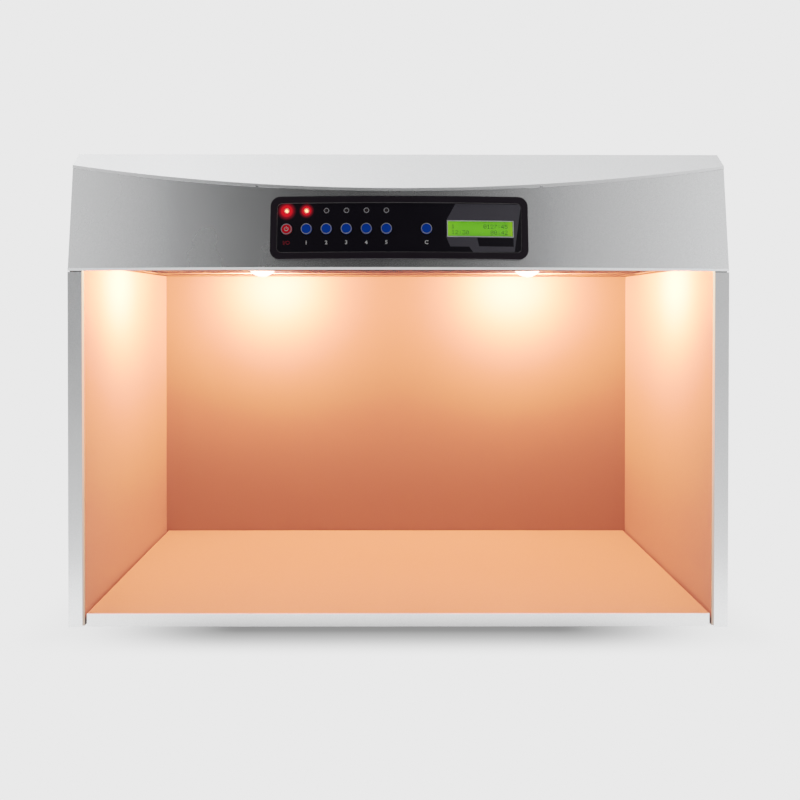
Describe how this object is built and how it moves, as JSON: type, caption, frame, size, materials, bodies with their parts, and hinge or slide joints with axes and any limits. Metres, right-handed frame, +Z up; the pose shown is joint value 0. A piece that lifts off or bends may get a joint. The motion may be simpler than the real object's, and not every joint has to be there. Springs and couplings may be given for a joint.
{
  "type": "colour assessment cabinet",
  "caption": "Tabletop light booth for judging colours: open-fronted neutral chamber under a bowed lamp head with key panel, display, filament bulbs and fluorescent tubes.",
  "frame": {"origin": "on the surface that the feet stand on, under the middle of the whole cabinet", "axes": "+X to the right of someone facing the open front, +Y to the back, +Z up"},
  "size_m": [0.71, 0.4228, 0.5202],
  "materials": {
    "cabinet_paint": "fine-textured silver grey powder paint",
    "fascia_paint": "metallic silver grey paint",
    "liner_paint": "matt neutral grey viewing paint",
    "plain_steel": "zinc-plated sheet",
    "screw_steel": "bright zinc",
    "foot_rubber": "matt",
    "white_enamel": "white stove enamel",
    "opal_acrylic": "opal",
    "trim_strip": "satin",
    "plate_metal": "brushed, blank",
    "tube_phosphor": "phosphor-coated",
    "violet_glass": "dark filter glass",
    "cap_metal": "pressed",
    "white_plastic": "moulded",
    "bulb_glass": "lit, satin-frosted",
    "cap_brass": "plated",
    "filament_wire": "wire and glass stem",
    "socket_ceramic": "glazed",
    "ballast_case": "plain",
    "board_green": "solder mask",
    "relay_blue": "moulded",
    "supply_black": "moulded",
    "wire_red": "wire sleeve",
    "ribbon_grey": "flat cable",
    "bezel_black": "satin",
    "overlay_black": "printed film",
    "clear_window": "clear",
    "display_green": "lit",
    "led_red": "clear red lens",
    "ring_grey": "moulded",
    "key_red": "moulded",
    "key_blue": "moulded",
    "inlet_black": "moulded"
  },
  "bodies": {
    "root": {"floor_panel": "cabinet_paint", "base_pan": "plain_steel", "left_side_shell": "cabinet_paint", "left_side_liner": "liner_paint", "right_side_shell": "cabinet_paint", "right_side_liner": "liner_paint", "back_shell": "cabinet_paint", "back_liner": "liner_paint", "rubber_feet": "foot_rubber", "foot_screws": "screw_steel", "lamp_tray": "liner_paint", "diffusers": "opal_acrylic", "reflector": "white_enamel", "front_fascia": "fascia_paint", "lip_trim": "trim_strip", "top_cover": "cabinet_paint", "rear_panel": "cabinet_paint", "left_head_plate": "cabinet_paint", "right_head_plate": "cabinet_paint", "cover_screws": "screw_steel", "rating_plate": "plate_metal", "daylight_tube_1": "tube_phosphor", "daylight_tube_2": "tube_phosphor", "store_tube_1": "tube_phosphor", "store_tube_2": "tube_phosphor", "office_tube_1": "tube_phosphor", "office_tube_2": "tube_phosphor", "ultraviolet_tube": "violet_glass", "tube_caps": "cap_metal", "tube_holders": "white_plastic", "left_bulb": "bulb_glass", "right_bulb": "bulb_glass", "bulb_caps": "cap_brass", "bulb_filaments": "filament_wire", "bulb_sockets": "socket_ceramic", "socket_bracket": "plain_steel", "ballasts": "ballast_case", "relay_board": "board_green", "relays": "relay_blue", "power_supply": "supply_black", "terminal_block": "white_plastic", "wiring_loom": "wire_red", "ribbon_cable": "ribbon_grey", "panel_bezel": "bezel_black", "panel_overlay": "overlay_black", "lcd_window": "clear_window", "lcd_module": "display_green", "control_board": "board_green", "tact_switches": "supply_black", "indicator_leds": "led_red", "led_rings": "ring_grey", "power_inlet": "inlet_black"},
    "power_key": {"power_key": "key_red"},
    "source_key_1": {"source_key_1": "key_blue"},
    "source_key_2": {"source_key_2": "key_blue"},
    "source_key_3": {"source_key_3": "key_blue"},
    "source_key_4": {"source_key_4": "key_blue"},
    "source_key_5": {"source_key_5": "key_blue"},
    "clear_key": {"clear_key": "key_blue"},
    "fuse_drawer": {"fuse_drawer": "inlet_black"}
  },
  "joints": [
    {"name": "power_key_press", "type": "slide", "parent": "root", "child": "power_key", "axis": [0.0654, 0.9865, -0.1502], "range_m": [0, 0.0008], "stiffness_N_per_m": 300},
    {"name": "source_key_1_press", "type": "slide", "parent": "root", "child": "source_key_1", "axis": [0.0539, 0.9872, -0.1504], "range_m": [0, 0.0008], "stiffness_N_per_m": 300},
    {"name": "source_key_2_press", "type": "slide", "parent": "root", "child": "source_key_2", "axis": [0.0423, 0.9877, -0.1504], "range_m": [0, 0.0008], "stiffness_N_per_m": 300},
    {"name": "source_key_3_press", "type": "slide", "parent": "root", "child": "source_key_3", "axis": [0.0307, 0.9881, -0.1505], "range_m": [0, 0.0008], "stiffness_N_per_m": 300},
    {"name": "source_key_4_press", "type": "slide", "parent": "root", "child": "source_key_4", "axis": [0.0191, 0.9884, -0.1505], "range_m": [0, 0.0008], "stiffness_N_per_m": 300},
    {"name": "source_key_5_press", "type": "slide", "parent": "root", "child": "source_key_5", "axis": [0.0075, 0.9886, -0.1506], "range_m": [0, 0.0008], "stiffness_N_per_m": 300},
    {"name": "clear_key_press", "type": "slide", "parent": "root", "child": "clear_key", "axis": [-0.0157, 0.9885, -0.1506], "range_m": [0, 0.0008], "stiffness_N_per_m": 300},
    {"name": "fuse_drawer_slide", "type": "slide", "parent": "root", "child": "fuse_drawer", "axis": [0, 1, 0], "range_m": [0, 0.018]}
  ]
}
